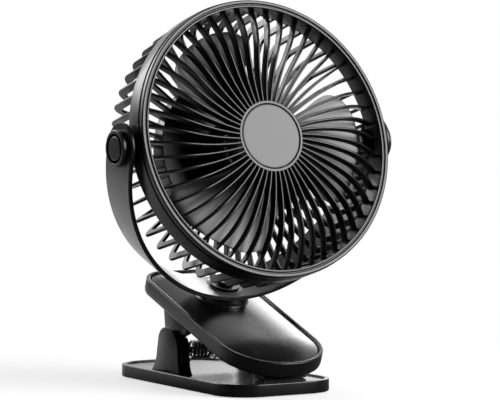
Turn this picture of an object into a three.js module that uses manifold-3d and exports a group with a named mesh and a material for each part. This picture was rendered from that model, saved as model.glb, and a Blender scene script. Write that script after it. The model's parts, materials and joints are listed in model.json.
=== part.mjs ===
// A rechargeable clip fan: a caged propeller head in a U-shaped yoke, on a spring clip.
// Millimetres, +Z up. The origin is the middle of the underside of the clip's base.
// The yoke's pivot axis runs along X, and the fan and the clip's nose face -Y.
import * as THREE from "three";
import { mergeVertices } from "three/addons/utils/BufferGeometryUtils.js";
import Module from "manifold-3d";

const wasm = await Module();
wasm.setup();

const DEGREE = Math.PI / 180;

// Clearances
const seat = 0.3; // between a piece and what it rests on
const running = 0.3; // between a shaft or a pin and its hole

// Clip base
const baseLength = 137;
const baseNoseWidth = 68;
const baseTailWidth = 64;
const baseNoseCorner = 19;
const baseTailCorner = 20;
const baseTop = 7.2;
const baseRimWidth = 2.4;
const baseRecess = 1.2;
const baseFloat = 0.4; // the rubber foot lifts the plastic this much
const footThickness = 1.6;
const footInset = 5;

// Hinge of the clip
const hingeY = 12;
const hingeZ = 18;
const hingePinRadius = 2;
const baseEarOutside = 28;
const baseEarThickness = 3.4;
const baseEarTop = 31;
const jawEarThickness = 3.4;
const jawEarRadius = 8;
const wireRadius = 0.8;
const coilRadius = 4.6;
const coilPitch = 2.3;
const coilTurns = 5;

// Upper jaw, a tray with a domed lid. Its rim plane leans by clipTilt.
const clipTilt = 20 * DEGREE;
const swivelFootZ = 45.2; // where the swivel axis meets the jaw's rim plane, at Y = 0
const jawOverhang = 6.4; // of the jaw's nose past the base's, seen from above
const jawTail = 41.7;
const jawWidth = 60;
const jawNoseCorner = 28;
const jawTailCorner = 14;
const jawHeight = 8.4;
const jawFloor = 1.8;
const jawRimWidth = 2;
const lidRise = 2.2;
const lidWall = 1.4;
const padWidth = 26;
const padLength = 9;
const padInset = 3; // from the base's nose to the front edge of the grip pads
const padRibCount = 3;
const padRibHeight = 0.6;
const padTop = 8.7;

// Neck and swivel
const neckRadius = 14;
const neckTop = 4.4; // above the jaw's rim plane
const collarHeight = 0.8;
const collarRadius = 13.6;
const postRadius = 4.6;
const postBore = 2.3;
const postFlange = 9;
const swivelWasherRadius = 8;
const swivelWasherThickness = 0.8;
const swivelHeadRadius = 4.5;
const swivelHeadHeight = 1.6;

// What the jaw holds
const batteryWidth = 42;
const batteryLength = 46;
const batteryHeight = 4.2;
const batteryFront = 60;
const chargeBoardWidth = 36;
const chargeBoardLength = 20;
const chargeBoardFront = -14;

// Yoke
const yokeDrop = 85; // from the pivot axis to the underside of the strap
const yokeThickness = 2.4;
const yokeWidth = 27;
const bossRadius = 9.8;
const bossRise = 3.2;
const bossRecess = 0.4; // how far the cap's seat is sunk into the arm
const strapPadRise = 0.6; // of the seat for the swivel's washer, above the strap
const bossRecessRadius = 7.9;
const capRadius = 6.4;
const pivotScrewRadius = 2;
const pivotHeadRadius = 3.6;
const pivotHeadSink = 0.8; // how much of the arm is left under the screw's head
const pivotWasherRadius = 6.5;
const pivotWasherThickness = 0.7;
const headTilt = 35.2 * DEGREE; // the fan's axis above the plane square to the yoke

// Front grille. In the head's frame the fan's axis is Z, and the pivot axis is X at Z = 0.
const bezelRadius = 75.2;
const bezelFront = 17.5;
const bezelThickness = 3.1;
const bezelRimWidth = 4.1; // from the bezel's edge in to the wall
const wallThickness = 1.8;
const wallRear = 4;
const grooveInset = 2.4; // from the bezel's edge to the middle of the groove
const grooveWidth = 1;
const grooveDepth = 0.8;
const spokeCount = 50;
const spokeThickness = 1.3;
const spokeDepth = 5;
const spokeSweep = 0.2 * DEGREE; // turn for each millimetre outward
const spokePhase = 2.1 * DEGREE;
const spokeFlatRadius = 46;
const spokeDrop = 10; // how far the spokes' front falls from the flat to the wall
const hubRadius = 19.4;
const hubFront = 21.5;
const hubDepth = 5;
const hubRimWidth = 2; // of the hub's rim round the badge
const badgeThickness = 1.8;

// Rear cage
const bandClearance = 0.4; // between the band and the grille's wall
const bandThickness = 2.3;
const bandFront = 14;
const bandRear = 3.5;
const vaneThickness = 1.3;
const vaneInset = 0.4; // of the vanes' outer edge from the band's
const vaneDepth = 4;
const cageRear = -25.5;
const cageCorner = 13;
const housingRadius = 42.5;
const housingWall = 2;
const housingFloor = -23; // rear face of the wall that carries the motor
const housingRear = -29.7;
const lugRadius = 9;
const lugLength = 9.7;
const lugRise = 0.4; // of the lug's face from the band

// Motor
const motorRadius = 14.8;
const motorWall = 1.4;
const motorFront = -2.6;
const motorCupWall = 1.8;
const motorCupFront = -9;
const shaftRadius = 1.5;
const shaftFront = 10;
const bushRadius = 3.2;
const bushLength = 4;
const bellThickness = 2;
const magnetThickness = 2.4;
const airGap = 1.2;
const windingRoom = 2; // at each end of the magnet

// Propeller
const bladeCount = 3;
const bladeTip = 62.5;
const bladeThickness = 1.5;
const bladeCup = 1.6;
const bladeLean = 11 * DEGREE; // how far the tip trails the root
const bladePitchRadius = 24;
const bladePitch = 11;
const bladeMiddle = 4.4;
const propellerTurn = 4 * DEGREE;
const propellerHubRadius = 14;
const propellerHubRear = 0.5;
const propellerHubFront = 13.5;
const propellerWall = 1.8;

// Controls at the back of the head
const coverThickness = 2;
const boardMargin = 2.3; // between the board and the screws' bosses
const boardThickness = 1.6;
const switchSide = 6;
const switchHeight = 2.4;
const plungerRadius = 1.6;
const plungerLength = 1.7;
const buttonTravel = 0.8;
const buttonRadius = 6.2;
const buttonFlange = 8;
const buttonFlangeThickness = 0.9;
const buttonStandOut = 0.9;
const lampRadius = 1.2;
const lampPlace = 17; // above the fan's axis
const socketWidth = 9;
const socketHeight = 3.2;
const socketPlace = -20;
const coverScrewInset = 6; // from the housing's wall to the screws
const coverScrewCount = 3;
const coverScrewRadius = 1.3;
const coverScrewHead = 2.5;
const screwBossRadius = 3.2;

// Values that follow from the sizes above
const padFront = baseLength / 2 - padInset;
const jawNose = (baseLength / 2 + jawOverhang) / Math.cos(clipTilt);
const wallInner = bezelRadius - bezelRimWidth;
const wallOuter = wallInner + wallThickness;
const grooveRadius = bezelRadius - grooveInset;
const badgeRadius = hubRadius - hubRimWidth;
const bandInner = wallOuter + bandClearance;
const bandRadius = bandInner + bandThickness;
const vaneOuter = bandRadius - vaneInset;
const lugFace = bandRadius + lugRise;
const lugInner = lugFace - lugLength;
const armInner = lugFace + seat + pivotWasherThickness + 2 * seat;
const yokeReach = armInner + yokeThickness; // from the middle to the outside of each arm
const armRoom = bossRise + 1; // what the tools that cut an arm from outside reach past it
const coverScrewCircle = housingRadius - housingWall - coverScrewInset;
const boardRadius = coverScrewCircle - screwBossRadius - boardMargin;
const magnetRadius = motorRadius - motorWall - seat;
const rotorRadius = magnetRadius - magnetThickness - airGap;
const jawUnder = -jawHeight;
const jawFloorTop = jawUnder + jawFloor;
const strapBottom = neckTop + seat + collarHeight + seat; // above the rim plane
const strapTop = strapBottom + yokeThickness;
const pivotAbove = strapBottom + yokeDrop;
const padUnder = padTop + seat;
const motorRear = housingFloor + housingWall + seat;
const coverInner = housingRear - seat;
const coverOuter = coverInner - coverThickness;
const plungerEnd = coverInner + 2 * seat + buttonFlangeThickness + plungerLength;
const boardFront = housingFloor - seat;
const boardRear = boardFront - boardThickness;
const vanePitch = (2 * Math.PI) / spokeCount;

// Materials
const colours = {
  gloss: 0x1b1c1d,
  satin: 0x26282a,
  matte: 0x1d1f20,
  rubber: 0x161616,
  steel: 0xb9bcc0,
  copper: 0xb07a4a,
  board: 0x1f5a3a,
  pouch: 0x9aa0a6,
  lamp: 0xd9e6ef,
};
function material(colour, roughness, metalness = 0) {
  return new THREE.MeshStandardMaterial({ color: colour, roughness, metalness });
}
const glossPlastic = () => material(colours.gloss, 0.15);
const satinPlastic = () => material(colours.satin, 0.38);
const mattePlastic = () => material(colours.matte, 0.6);
const rubber = () => material(colours.rubber, 0.85);
const steel = () => material(colours.steel, 0.3, 1);

// ---- Solids: closed surfaces, joined and cut ----

function toSolid(geometry) {
  const bare = geometry.index ? geometry.toNonIndexed() : geometry.clone();
  bare.deleteAttribute("normal");
  bare.deleteAttribute("uv");
  const merged = mergeVertices(bare, 1e-4);
  return new wasm.Manifold(
    new wasm.Mesh({
      numProp: 3,
      vertProperties: merged.attributes.position.array,
      triVerts: new Uint32Array(merged.index.array),
    }),
  );
}

function toGeometry(solid) {
  const mesh = solid.getMesh();
  const geometry = new THREE.BufferGeometry();
  geometry.setAttribute("position", new THREE.BufferAttribute(new Float32Array(mesh.vertProperties), 3));
  geometry.setIndex(new THREE.BufferAttribute(mesh.triVerts, 1));
  geometry.computeVertexNormals();
  return geometry;
}

function join(...geometries) {
  return toGeometry(geometries.map(toSolid).reduce((a, b) => a.add(b)));
}

function cut(body, ...tools) {
  return toGeometry(tools.map(toSolid).reduce((a, b) => a.subtract(b), toSolid(body)));
}

function common(a, b) {
  return toGeometry(toSolid(a).intersect(toSolid(b)));
}

// A skin through rings of as many points each, closed with a fan over each end.
function loft(rings) {
  const count = rings[0].length;
  const points = rings.flat();
  const faces = [];
  for (let k = 0; k + 1 < rings.length; k++) {
    for (let i = 0; i < count; i++) {
      const a = k * count + i;
      const b = k * count + ((i + 1) % count);
      faces.push(a, b, a + count, b, b + count, a + count);
    }
  }
  for (const [k, flip] of [[0, true], [rings.length - 1, false]]) {
    const middle = new THREE.Vector3();
    rings[k].forEach((p) => middle.addScaledVector(p, 1 / count));
    const m = points.push(middle) - 1;
    for (let i = 0; i < count; i++) {
      const a = k * count + i;
      const b = k * count + ((i + 1) % count);
      faces.push(m, flip ? b : a, flip ? a : b);
    }
  }
  const geometry = new THREE.BufferGeometry().setFromPoints(points);
  geometry.setIndex(faces);
  return geometry;
}

// A turned piece about Z from a closed profile of [radius, height] points.
function turned(profile, segments = 32) {
  const points = profile.map(([r, z]) => new THREE.Vector2(r, z));
  const closed = points[0].x === 0 && points.at(-1).x === 0;
  if (!closed) points.push(points[0].clone());
  return new THREE.LatheGeometry(points, segments).rotateX(Math.PI / 2);
}

// A disc, or a ring where it has a hole, from one height to another.
function disc(radius, low, high, hole = 0, segments = 32) {
  if (hole > 0) return turned([[hole, low], [radius, low], [radius, high], [hole, high]], segments);
  return turned([[0, low], [radius, low], [radius, high], [0, high]], segments);
}

// The same along X instead of Z.
function axle(radius, low, high, hole = 0, segments = 20) {
  return disc(radius, low, high, hole, segments).rotateY(Math.PI / 2);
}

function block(x0, x1, y0, y1, z0, z1) {
  const geometry = new THREE.BoxGeometry(x1 - x0, y1 - y0, z1 - z0);
  return geometry.translate((x0 + x1) / 2, (y0 + y1) / 2, (z0 + z1) / 2);
}

// A plate drawn as a shape in Y and Z, and thick along X.
function sidePlate(shape, x0, x1, curveSegments = 8) {
  const geometry = new THREE.ExtrudeGeometry(shape, {
    depth: x1 - x0,
    bevelEnabled: false,
    curveSegments,
  });
  // The shape's X becomes Y, its Y becomes Z, and its depth runs along X.
  geometry.applyMatrix4(new THREE.Matrix4().makeBasis(
    new THREE.Vector3(0, 1, 0),
    new THREE.Vector3(0, 0, 1),
    new THREE.Vector3(1, 0, 0),
  ));
  return geometry.translate(x0, 0, 0);
}

// The rounded outline of a clip half, as the hull of two nose circles and two tail circles.
function clipOutline(size, inset, z, count = 36) {
  const noseR = Math.max(size.noseCorner - inset, 1);
  const tailR = Math.max(size.tailCorner - inset, 1);
  const nose = [size.noseWidth / 2 - inset - noseR, -size.nose + inset + noseR, noseR];
  const tail = [size.tailWidth / 2 - inset - tailR, size.tail - inset - tailR, tailR];
  const circles = [nose, tail, [-tail[0], tail[1], tailR], [-nose[0], nose[1], noseR]];
  const ring = [];
  for (let i = 0; i < count; i++) {
    const angle = (2 * Math.PI * (i + 0.5)) / count;
    const x = Math.cos(angle);
    const y = Math.sin(angle);
    const reach = (c) => c[0] * x + c[1] * y + c[2];
    const far = circles.reduce((a, b) => (reach(b) > reach(a) ? b : a));
    ring.push(new THREE.Vector3(far[0] + far[2] * x, far[1] + far[2] * y, z));
  }
  return ring;
}

// A skin over a clip outline through [inset, height] steps.
function clipSkin(size, steps) {
  return loft(steps.map(([inset, z]) => clipOutline(size, inset, z)));
}

const baseSize = {
  nose: baseLength / 2,
  tail: baseLength / 2,
  noseWidth: baseNoseWidth,
  tailWidth: baseTailWidth,
  noseCorner: baseNoseCorner,
  tailCorner: baseTailCorner,
};
const jawSize = {
  nose: jawNose,
  tail: jawTail,
  noseWidth: jawWidth,
  tailWidth: jawWidth,
  noseCorner: jawNoseCorner,
  tailCorner: jawTailCorner,
};

// ---- Clip base ----

// One hinge ear of the base: a side plate on a flared foot, with a web across its front.
function baseEar(side) {
  const floor = baseTop - baseRecess - 0.4;
  const shape = new THREE.Shape();
  shape.moveTo(hingeY - 16, floor);
  shape.lineTo(hingeY + 17, floor);
  shape.quadraticCurveTo(hingeY + 11, baseTop + 3, hingeY + 10, hingeZ);
  shape.lineTo(hingeY + 8.5, baseEarTop - 6);
  shape.quadraticCurveTo(hingeY + 6.5, baseEarTop, hingeY, baseEarTop);
  shape.quadraticCurveTo(hingeY - 9, baseEarTop - 1, hingeY - 12, baseEarTop - 8);
  shape.lineTo(hingeY - 13, baseTop + 5);
  shape.quadraticCurveTo(hingeY - 13.5, baseTop + 1, hingeY - 16, floor);
  const inside = baseEarOutside - baseEarThickness;
  const plate = sidePlate(shape, inside, baseEarOutside);
  const web = common(
    sidePlate(shape, inside - 4.5, inside + 0.5),
    block(0, baseEarOutside, hingeY - 17, hingeY - 10.4, 0, baseEarTop - 5),
  );
  const bore = axle(hingePinRadius + running, 0, baseEarOutside - 1.2).translate(0, hingeY, hingeZ);
  const ear = cut(join(plate, web), bore);
  return side > 0 ? ear : mirrored(ear);
}

// The mirror image in X, with its faces turned back outwards.
function mirrored(geometry) {
  const copy = geometry.index ? geometry.toNonIndexed() : geometry.clone();
  const at = copy.getAttribute("position");
  const points = [];
  for (let i = 0; i < at.count; i += 3) {
    for (const k of [0, 2, 1]) points.push(new THREE.Vector3().fromBufferAttribute(at, i + k));
  }
  points.forEach((p) => (p.x = -p.x));
  return new THREE.BufferGeometry().setFromPoints(points);
}

function basePlate() {
  const tray = clipSkin(baseSize, [
    [footInset, footThickness + seat],
    [footInset, baseFloat],
    [0.6, baseFloat],
    [0, baseFloat + 0.8],
    [0, baseTop - 0.6],
    [0.5, baseTop],
    [baseRimWidth - 0.4, baseTop],
    [baseRimWidth, baseTop - baseRecess],
  ]);
  const padSeat = block(
    -padWidth / 2 - seat, padWidth / 2 + seat,
    -padFront - seat, -padFront + padLength + seat,
    baseTop - baseRecess - 1, baseTop + 1,
  );
  return join(cut(tray, padSeat), baseEar(1), baseEar(-1));
}

function baseFoot() {
  return clipSkin(baseSize, [
    [footInset + seat + 0.4, 0],
    [footInset + seat, 0.4],
    [footInset + seat, footThickness],
  ]);
}

// A grip pad with a few cross ribs on its working face.
function basePad() {
  const low = baseTop - baseRecess - 1 + seat;
  const half = padWidth / 2;
  const plate = block(-half, half, -padFront, -padFront + padLength, low, padTop - padRibHeight);
  const ribs = [];
  const pitch = padLength / padRibCount;
  for (let i = 0; i < padRibCount; i++) {
    const y = -padFront + (i + 0.2) * pitch;
    ribs.push(block(1 - half, half - 1, y, y + 0.6 * pitch, low + 1, padTop));
  }
  return join(plate, ...ribs);
}

// ---- Hinge ----

function hingePin() {
  const end = baseEarOutside - 1.2 - seat;
  return axle(hingePinRadius, -end, end);
}

// One half of the double torsion spring: a coil along X, and a leg that leaves its outer end.
function springHalf(side, legAngle, landing, landingTilt) {
  const turns = coilTurns * 2 * Math.PI;
  const start = legAngle - Math.PI / 2;
  const points = [];
  const stepsPerTurn = 8;
  // The leg runs until it rests on a plane, whose height is measured square to that plane.
  const rise = Math.sin(legAngle - landingTilt);
  const legLength = (landing - coilRadius * Math.sin(start - landingTilt)) / rise;
  const steps = coilTurns * stepsPerTurn;
  const outer = 0.7 + coilTurns * coilPitch;
  points.push(new THREE.Vector3(
    side * outer,
    coilRadius * Math.cos(start) + legLength * Math.cos(legAngle),
    coilRadius * Math.sin(start) + legLength * Math.sin(legAngle),
  ));
  for (let i = 0; i <= steps; i++) {
    const angle = start - (turns * i) / steps;
    points.push(new THREE.Vector3(
      side * (outer - (coilPitch * coilTurns * i) / steps),
      coilRadius * Math.cos(angle),
      coilRadius * Math.sin(angle),
    ));
  }
  return sweptWire(points, wireRadius);
}

// A round wire through points, with its rings square to the path.
function sweptWire(points, radius, sides = 5) {
  const rings = points.map((p, i) => {
    const ahead = points[Math.min(i + 1, points.length - 1)];
    const behind = points[Math.max(i - 1, 0)];
    const along = ahead.clone().sub(behind).normalize();
    const across = new THREE.Vector3(1, 0, 0);
    across.addScaledVector(along, -across.dot(along)).normalize();
    const third = along.clone().cross(across);
    return Array.from({ length: sides }, (_, k) => {
      const angle = (2 * Math.PI * k) / sides;
      return p.clone()
        .addScaledVector(across, radius * Math.cos(angle))
        .addScaledVector(third, radius * Math.sin(angle));
    });
  });
  return loft(rings);
}

// ---- Upper jaw. Its frame: origin on the swivel axis in the rim plane, Y along the jaw. ----

// The hinge axis in the jaw's frame.
const hingeDrop = hingeZ - swivelFootZ;
const hingeV = hingeY * Math.cos(clipTilt) + hingeDrop * Math.sin(clipTilt);
const hingeN = -hingeY * Math.sin(clipTilt) + hingeDrop * Math.cos(clipTilt);

// Where the spring's legs end, measured from the hinge axis.
const baseLanding = baseTop - baseRecess + seat + wireRadius - hingeZ;
const jawLanding = jawUnder - seat - wireRadius - hingeN;

function jawEar(side) {
  // Broad at the top, stepped over the base ear's web, and round about the pin.
  const step = hingeN + 15.5 * Math.cos(clipTilt);
  const shape = new THREE.Shape();
  shape.moveTo(-7, jawUnder + 0.5);
  shape.lineTo(-9, step);
  shape.lineTo(hingeV - 6, step - 3);
  shape.absarc(hingeV, hingeN, jawEarRadius, 160 * DEGREE, 375 * DEGREE, false);
  shape.lineTo(19.5, jawUnder + 0.5);
  const outside = baseEarOutside - baseEarThickness - seat;
  const plate = sidePlate(shape, outside - jawEarThickness, outside, 12);
  const bore = axle(hingePinRadius + running, 0, baseEarOutside).translate(0, hingeV, hingeN);
  const ear = cut(plate, bore);
  return side > 0 ? ear : mirrored(ear);
}

function jawShell() {
  const seatInset = jawRimWidth + 0.5;
  const tray = clipSkin(jawSize, [
    [1, jawUnder],
    [0, jawUnder + 1.4],
    [0, -0.8],
    [0.7, 0],
    [jawRimWidth, 0],
    [seatInset, -0.9],
    [seatInset, jawFloorTop],
  ]);
  return join(tray, jawEar(1), jawEar(-1));
}

// The glossy lid: a shallow dome with the neck on it, hollow below.
function jawLid() {
  const edge = jawRimWidth + 0.5 + seat;
  const low = -jawHeight / 2;
  const steps = [[edge + lidWall, low], [edge, low], [edge, -0.9]];
  const rise = (t) => -0.9 + (lidRise + 0.9) * (1 - (1 - t) ** 2.4);
  const span = jawWidth / 2 - edge;
  for (const t of [0.08, 0.22, 0.45, 0.75]) steps.push([edge + t * span, rise(t)]);
  const dome = clipSkin(jawSize, steps);
  const hollow = clipSkin(jawSize, [
    [edge + lidWall, low - 1],
    [edge + lidWall, -2.2],
    [edge + lidWall + 4, -0.6],
    [edge + lidWall + 9, 0],
  ]);
  const neck = disc(neckRadius, -0.5, neckTop, 0, 48);
  const hole = disc(postRadius + running, -3, neckTop + 1, 0, 32);
  return cut(join(cut(dome, hollow), neck), hole);
}

function swivelPost() {
  const low = jawFloorTop + seat;
  return turned([
    [postBore, low],
    [postFlange, low],
    [postFlange, low + 1.8],
    [postRadius, low + 1.8],
    [postRadius, strapTop],
    [postBore, strapTop],
  ], 32);
}

function jawPad() {
  // Its under face lies level, a seat above the base's pad.
  const high = swivelFootZ;
  const plate = block(-padWidth / 2, padWidth / 2, -padFront, -padFront + padLength, padUnder, high);
  const under = block(-jawWidth, jawWidth, -jawNose * 2, jawTail, jawUnder - high, jawUnder - seat);
  under.rotateX(clipTilt).translate(0, 0, swivelFootZ);
  return common(plate, under);
}

function batteryPack() {
  const low = jawFloorTop + seat;
  const half = batteryWidth / 2;
  return block(-half, half, -batteryFront, -batteryFront + batteryLength, low, low + batteryHeight);
}

function chargeBoard() {
  const low = jawFloorTop + seat;
  const half = chargeBoardWidth / 2;
  const front = -chargeBoardFront;
  return block(-half, half, front, front + chargeBoardLength, low, low + boardThickness);
}

// ---- Yoke. Its frame: origin at the middle of the pivot axis, Z along the swivel axis. ----

const archSteps = 32;

// Half an ellipse with straight ends above it, as a strap in X and Z.
function archShape(reach, drop, top) {
  const shape = new THREE.Shape();
  shape.moveTo(reach, top);
  shape.lineTo(reach, 0);
  for (let i = 1; i < archSteps; i++) {
    const angle = (-Math.PI * i) / archSteps;
    shape.lineTo(reach * Math.cos(angle), drop * Math.sin(angle));
  }
  shape.lineTo(-reach, 0);
  shape.lineTo(-reach, top);
  return shape;
}

function extrudeAcross(shape, depth) {
  const geometry = new THREE.ExtrudeGeometry(shape, { depth, bevelEnabled: false, curveSegments: 12 });
  return geometry.rotateX(Math.PI / 2).translate(0, depth / 2, 0);
}

function yokeStrap() {
  const half = yokeWidth / 2;
  const outer = extrudeAcross(archShape(yokeReach, yokeDrop, half), yokeWidth);
  const hollow = extrudeAcross(
    archShape(yokeReach - yokeThickness, yokeDrop - yokeThickness, half + 1),
    yokeWidth + 2,
  );
  const side = new THREE.Shape();
  side.moveTo(-half, -yokeDrop - 1);
  side.lineTo(half, -yokeDrop - 1);
  side.lineTo(half, 0);
  side.absarc(0, 0, half, 0, Math.PI, false);
  side.lineTo(-half, -yokeDrop - 1);
  const outline = sidePlate(side, -yokeReach - 1, yokeReach + 1, 16);
  const strap = common(cut(outer, hollow), outline);
  const foot = disc(collarRadius + 0.5, -yokeDrop, -yokeDrop + 2.2, 0, 48);
  const pad = disc(postFlange, -yokeDrop, -yokeDrop + yokeThickness + strapPadRise, 0, 32);
  const inner = armInner;
  const outside = yokeReach + armRoom;
  const extras = [foot, pad];
  const tools = [disc(postRadius + running, -yokeDrop - 1, -yokeDrop + 6, 0, 32)];
  for (const turn of [0, Math.PI]) {
    extras.push(axle(bossRadius, inner + 0.4, yokeReach + bossRise, 0, 40).rotateZ(turn));
    tools.push(axle(bossRecessRadius, yokeReach - bossRecess, outside, 0, 40).rotateZ(turn));
    tools.push(axle(pivotHeadRadius + running, inner + pivotHeadSink, outside).rotateZ(turn));
    tools.push(axle(pivotScrewRadius + running, inner - 1, outside).rotateZ(turn));
  }
  return cut(join(strap, ...extras), ...tools);
}

function pivotCap() {
  const low = yokeReach - bossRecess + seat;
  return turned([
    [0, low],
    [capRadius, low],
    [capRadius, yokeReach + bossRise - 0.3],
    [capRadius - 0.3, yokeReach + bossRise],
    [0, yokeReach + bossRise],
  ], 40).rotateY(Math.PI / 2);
}

function pivotScrew() {
  const head = armInner + pivotHeadSink + seat;
  const end = lugInner + 1.7;
  return turned([
    [0, end],
    [pivotScrewRadius, end],
    [pivotScrewRadius, head],
    [pivotHeadRadius, head],
    [pivotHeadRadius, yokeReach - bossRecess],
    [0, yokeReach - bossRecess],
  ], 32).rotateY(Math.PI / 2);
}

function pivotWasher() {
  const low = lugFace + seat;
  return axle(pivotWasherRadius, low, low + pivotWasherThickness, pivotScrewRadius + running, 24);
}

const washerLow = -yokeDrop + yokeThickness + strapPadRise + seat;

function swivelWasher() {
  return disc(swivelWasherRadius, washerLow, washerLow + swivelWasherThickness, postBore, 32);
}

// It comes down through the strap into the post.
function swivelScrew() {
  const end = -pivotAbove + jawFloorTop + 3;
  const head = washerLow + swivelWasherThickness + seat;
  return turned([
    [0, end],
    [postBore - seat, end],
    [postBore - seat, head],
    [swivelHeadRadius, head],
    [swivelHeadRadius, head + swivelHeadHeight - 0.5],
    [swivelHeadRadius - 0.9, head + swivelHeadHeight],
    [0, head + swivelHeadHeight],
  ], 24);
}

// ---- Head: front grille ----

// The spokes' front edge: flat round the hub, then falling back to the wall.
function spokeFront(r) {
  const t = Math.max(0, (r - spokeFlatRadius) / (wallInner - spokeFlatRadius));
  return hubFront - spokeDrop * t * t;
}

function polar(r, angle, z) {
  return new THREE.Vector3(r * Math.cos(angle), r * Math.sin(angle), z);
}

// A blade-like bar through stations, each with its four corners.
function bar(stations, thickness) {
  return loft(stations.map(({ inner, outer, angle }) => {
    const ring = [];
    for (const [side, at] of [[-1, inner], [1, inner], [1, outer], [-1, outer]]) {
      ring.push(polar(at[0], angle + (side * thickness) / 2 / at[0], at[1]));
    }
    return ring;
  }));
}

function spoke(index) {
  const stations = [];
  const first = hubRadius - 0.8;
  const last = wallInner + 0.6;
  const fall = last - spokeFlatRadius;
  const radii = [first, (first + spokeFlatRadius) / 2];
  for (const t of [0, 0.4, 0.7, 1]) radii.push(spokeFlatRadius + t * fall);
  for (const r of radii) {
    const front = spokeFront(Math.min(r, wallInner));
    const angle = spokePhase + index * vanePitch - spokeSweep * (r - hubRadius);
    stations.push({ inner: [r, front - spokeDepth], outer: [r, front], angle });
  }
  return bar(stations, spokeThickness);
}

function frontGrille() {
  const half = grooveWidth / 2;
  const ring = turned([
    [wallInner, wallRear],
    [wallOuter, wallRear],
    [wallOuter, bezelFront - bezelThickness],
    [bezelRadius, bezelFront - bezelThickness],
    [bezelRadius, bezelFront],
    [grooveRadius + half, bezelFront],
    [grooveRadius + half, bezelFront - grooveDepth],
    [grooveRadius - half, bezelFront - grooveDepth],
    [grooveRadius - half, bezelFront],
    [wallInner, bezelFront],
  ], spokeCount);
  const hub = turned([
    [0, hubFront - hubDepth],
    [hubRadius, hubFront - hubDepth],
    [hubRadius, hubFront],
    [badgeRadius + seat, hubFront],
    [badgeRadius + seat, hubFront - badgeThickness - seat],
    [0, hubFront - badgeThickness - seat],
  ], spokeCount);
  const spokes = Array.from({ length: spokeCount }, (_, i) => spoke(i));
  return join(ring, hub, ...spokes);
}

function hubBadge() {
  const low = hubFront - badgeThickness;
  return turned([
    [0, low],
    [badgeRadius, low],
    [badgeRadius, hubFront - 0.5],
    [badgeRadius - 0.3, hubFront - 0.15],
    [0, hubFront - 0.15],
  ], 50);
}

// ---- Head: rear cage ----

// One vane: straight back from the band, round the corner and in to the motor housing.
function vane(index) {
  const angle = index * vanePitch;
  const bend = vaneOuter - cageCorner;
  const innerR = cageCorner - vaneDepth;
  const side = vaneOuter - vaneDepth;
  const stations = [{ inner: [side, bandRear + 0.4], outer: [vaneOuter, bandRear + 0.4], angle }];
  for (const t of [0, 1 / 3, 2 / 3, 1]) {
    const turn = (t * Math.PI) / 2;
    const outer = [bend + cageCorner * Math.cos(turn), cageRear + cageCorner * (1 - Math.sin(turn))];
    const inner = [bend + innerR * Math.cos(turn), cageRear + cageCorner - innerR * Math.sin(turn)];
    stations.push({ inner, outer, angle });
  }
  const end = housingRadius - 0.8;
  stations.push({ inner: [end, cageRear + vaneDepth], outer: [end, cageRear], angle });
  return bar(stations, vaneThickness);
}

function rearCage() {
  const band = turned([
    [bandInner, bandRear],
    [bandRadius, bandRear],
    [bandRadius, bandFront],
    [bandInner, bandFront],
  ], spokeCount);
  const cup = motorRadius + seat;
  const front = housingFloor + housingWall;
  const housing = turned([
    [bushRadius + seat + 2, front],
    [bushRadius + seat + 2, housingFloor],
    [housingRadius - housingWall, housingFloor],
    [housingRadius - housingWall, housingRear],
    [housingRadius, housingRear],
    [housingRadius, front],
    [cup + motorCupWall, front],
    [cup + motorCupWall, motorCupFront],
    [cup, motorCupFront],
    [cup, front],
  ], spokeCount);
  const vanes = Array.from({ length: spokeCount }, (_, i) => vane(i));
  const lugs = [];
  const bores = [];
  const lugHalf = (2 * lugRadius) / 3;
  for (const turn of [0, Math.PI]) {
    lugs.push(axle(lugRadius, bandInner, lugFace, 0, 32).rotateZ(turn));
    const web = block(lugInner, bandInner + 0.5, -lugHalf, lugHalf, -lugRadius, bandRear + 0.1);
    lugs.push(web.rotateZ(turn));
    bores.push(axle(pivotScrewRadius + running, lugInner + 0.7, lugFace + 1).rotateZ(turn));
  }
  const bosses = [];
  for (let i = 0; i < coverScrewCount; i++) {
    const at = screwPlace(i);
    bosses.push(disc(screwBossRadius, housingRear, housingFloor + 0.5, 0, 20).translate(...at, 0));
    const bore = disc(coverScrewRadius + running, housingRear - 1, housingFloor - 0.5, 0, 20);
    bores.push(bore.translate(...at, 0));
  }
  return cut(join(band, housing, ...vanes, ...lugs, ...bosses), ...bores);
}

function screwPlace(index) {
  const angle = Math.PI / 2 + ((index + 0.5) * 2 * Math.PI) / coverScrewCount;
  return [coverScrewCircle * Math.cos(angle), coverScrewCircle * Math.sin(angle)];
}

// ---- Head: motor ----

function motorCan() {
  const inner = motorRadius - motorWall;
  return turned([
    [inner, motorRear + bellThickness + seat],
    [motorRadius, motorRear + bellThickness + seat],
    [motorRadius, motorFront - 0.8],
    [motorRadius - 0.8, motorFront],
    [bushRadius + seat, motorFront],
    [bushRadius + seat, motorFront - motorWall],
    [inner, motorFront - motorWall],
  ]);
}

function motorEndBell() {
  return turned([
    [bushRadius + seat, motorRear],
    [motorRadius, motorRear],
    [motorRadius, motorRear + bellThickness],
    [bushRadius + seat, motorRear + bellThickness],
  ]);
}

function motorBush(middle) {
  const low = middle - bushLength / 2;
  return disc(bushRadius, low, low + bushLength, shaftRadius + 0.1, 24);
}

function motorShaft() {
  return disc(shaftRadius, motorRear - 0.6, shaftFront, 0, 24);
}

function motorMagnet() {
  const low = motorRear + bellThickness + windingRoom;
  const high = motorFront - motorWall - windingRoom;
  return disc(magnetRadius, low, high, magnetRadius - magnetThickness, 40);
}

function motorRotor() {
  const low = motorRear + bellThickness + windingRoom + 1;
  const high = motorFront - motorWall - windingRoom - 1;
  return disc(rotorRadius, low, high, shaftRadius + seat, 32);
}

// ---- Head: propeller ----

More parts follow.
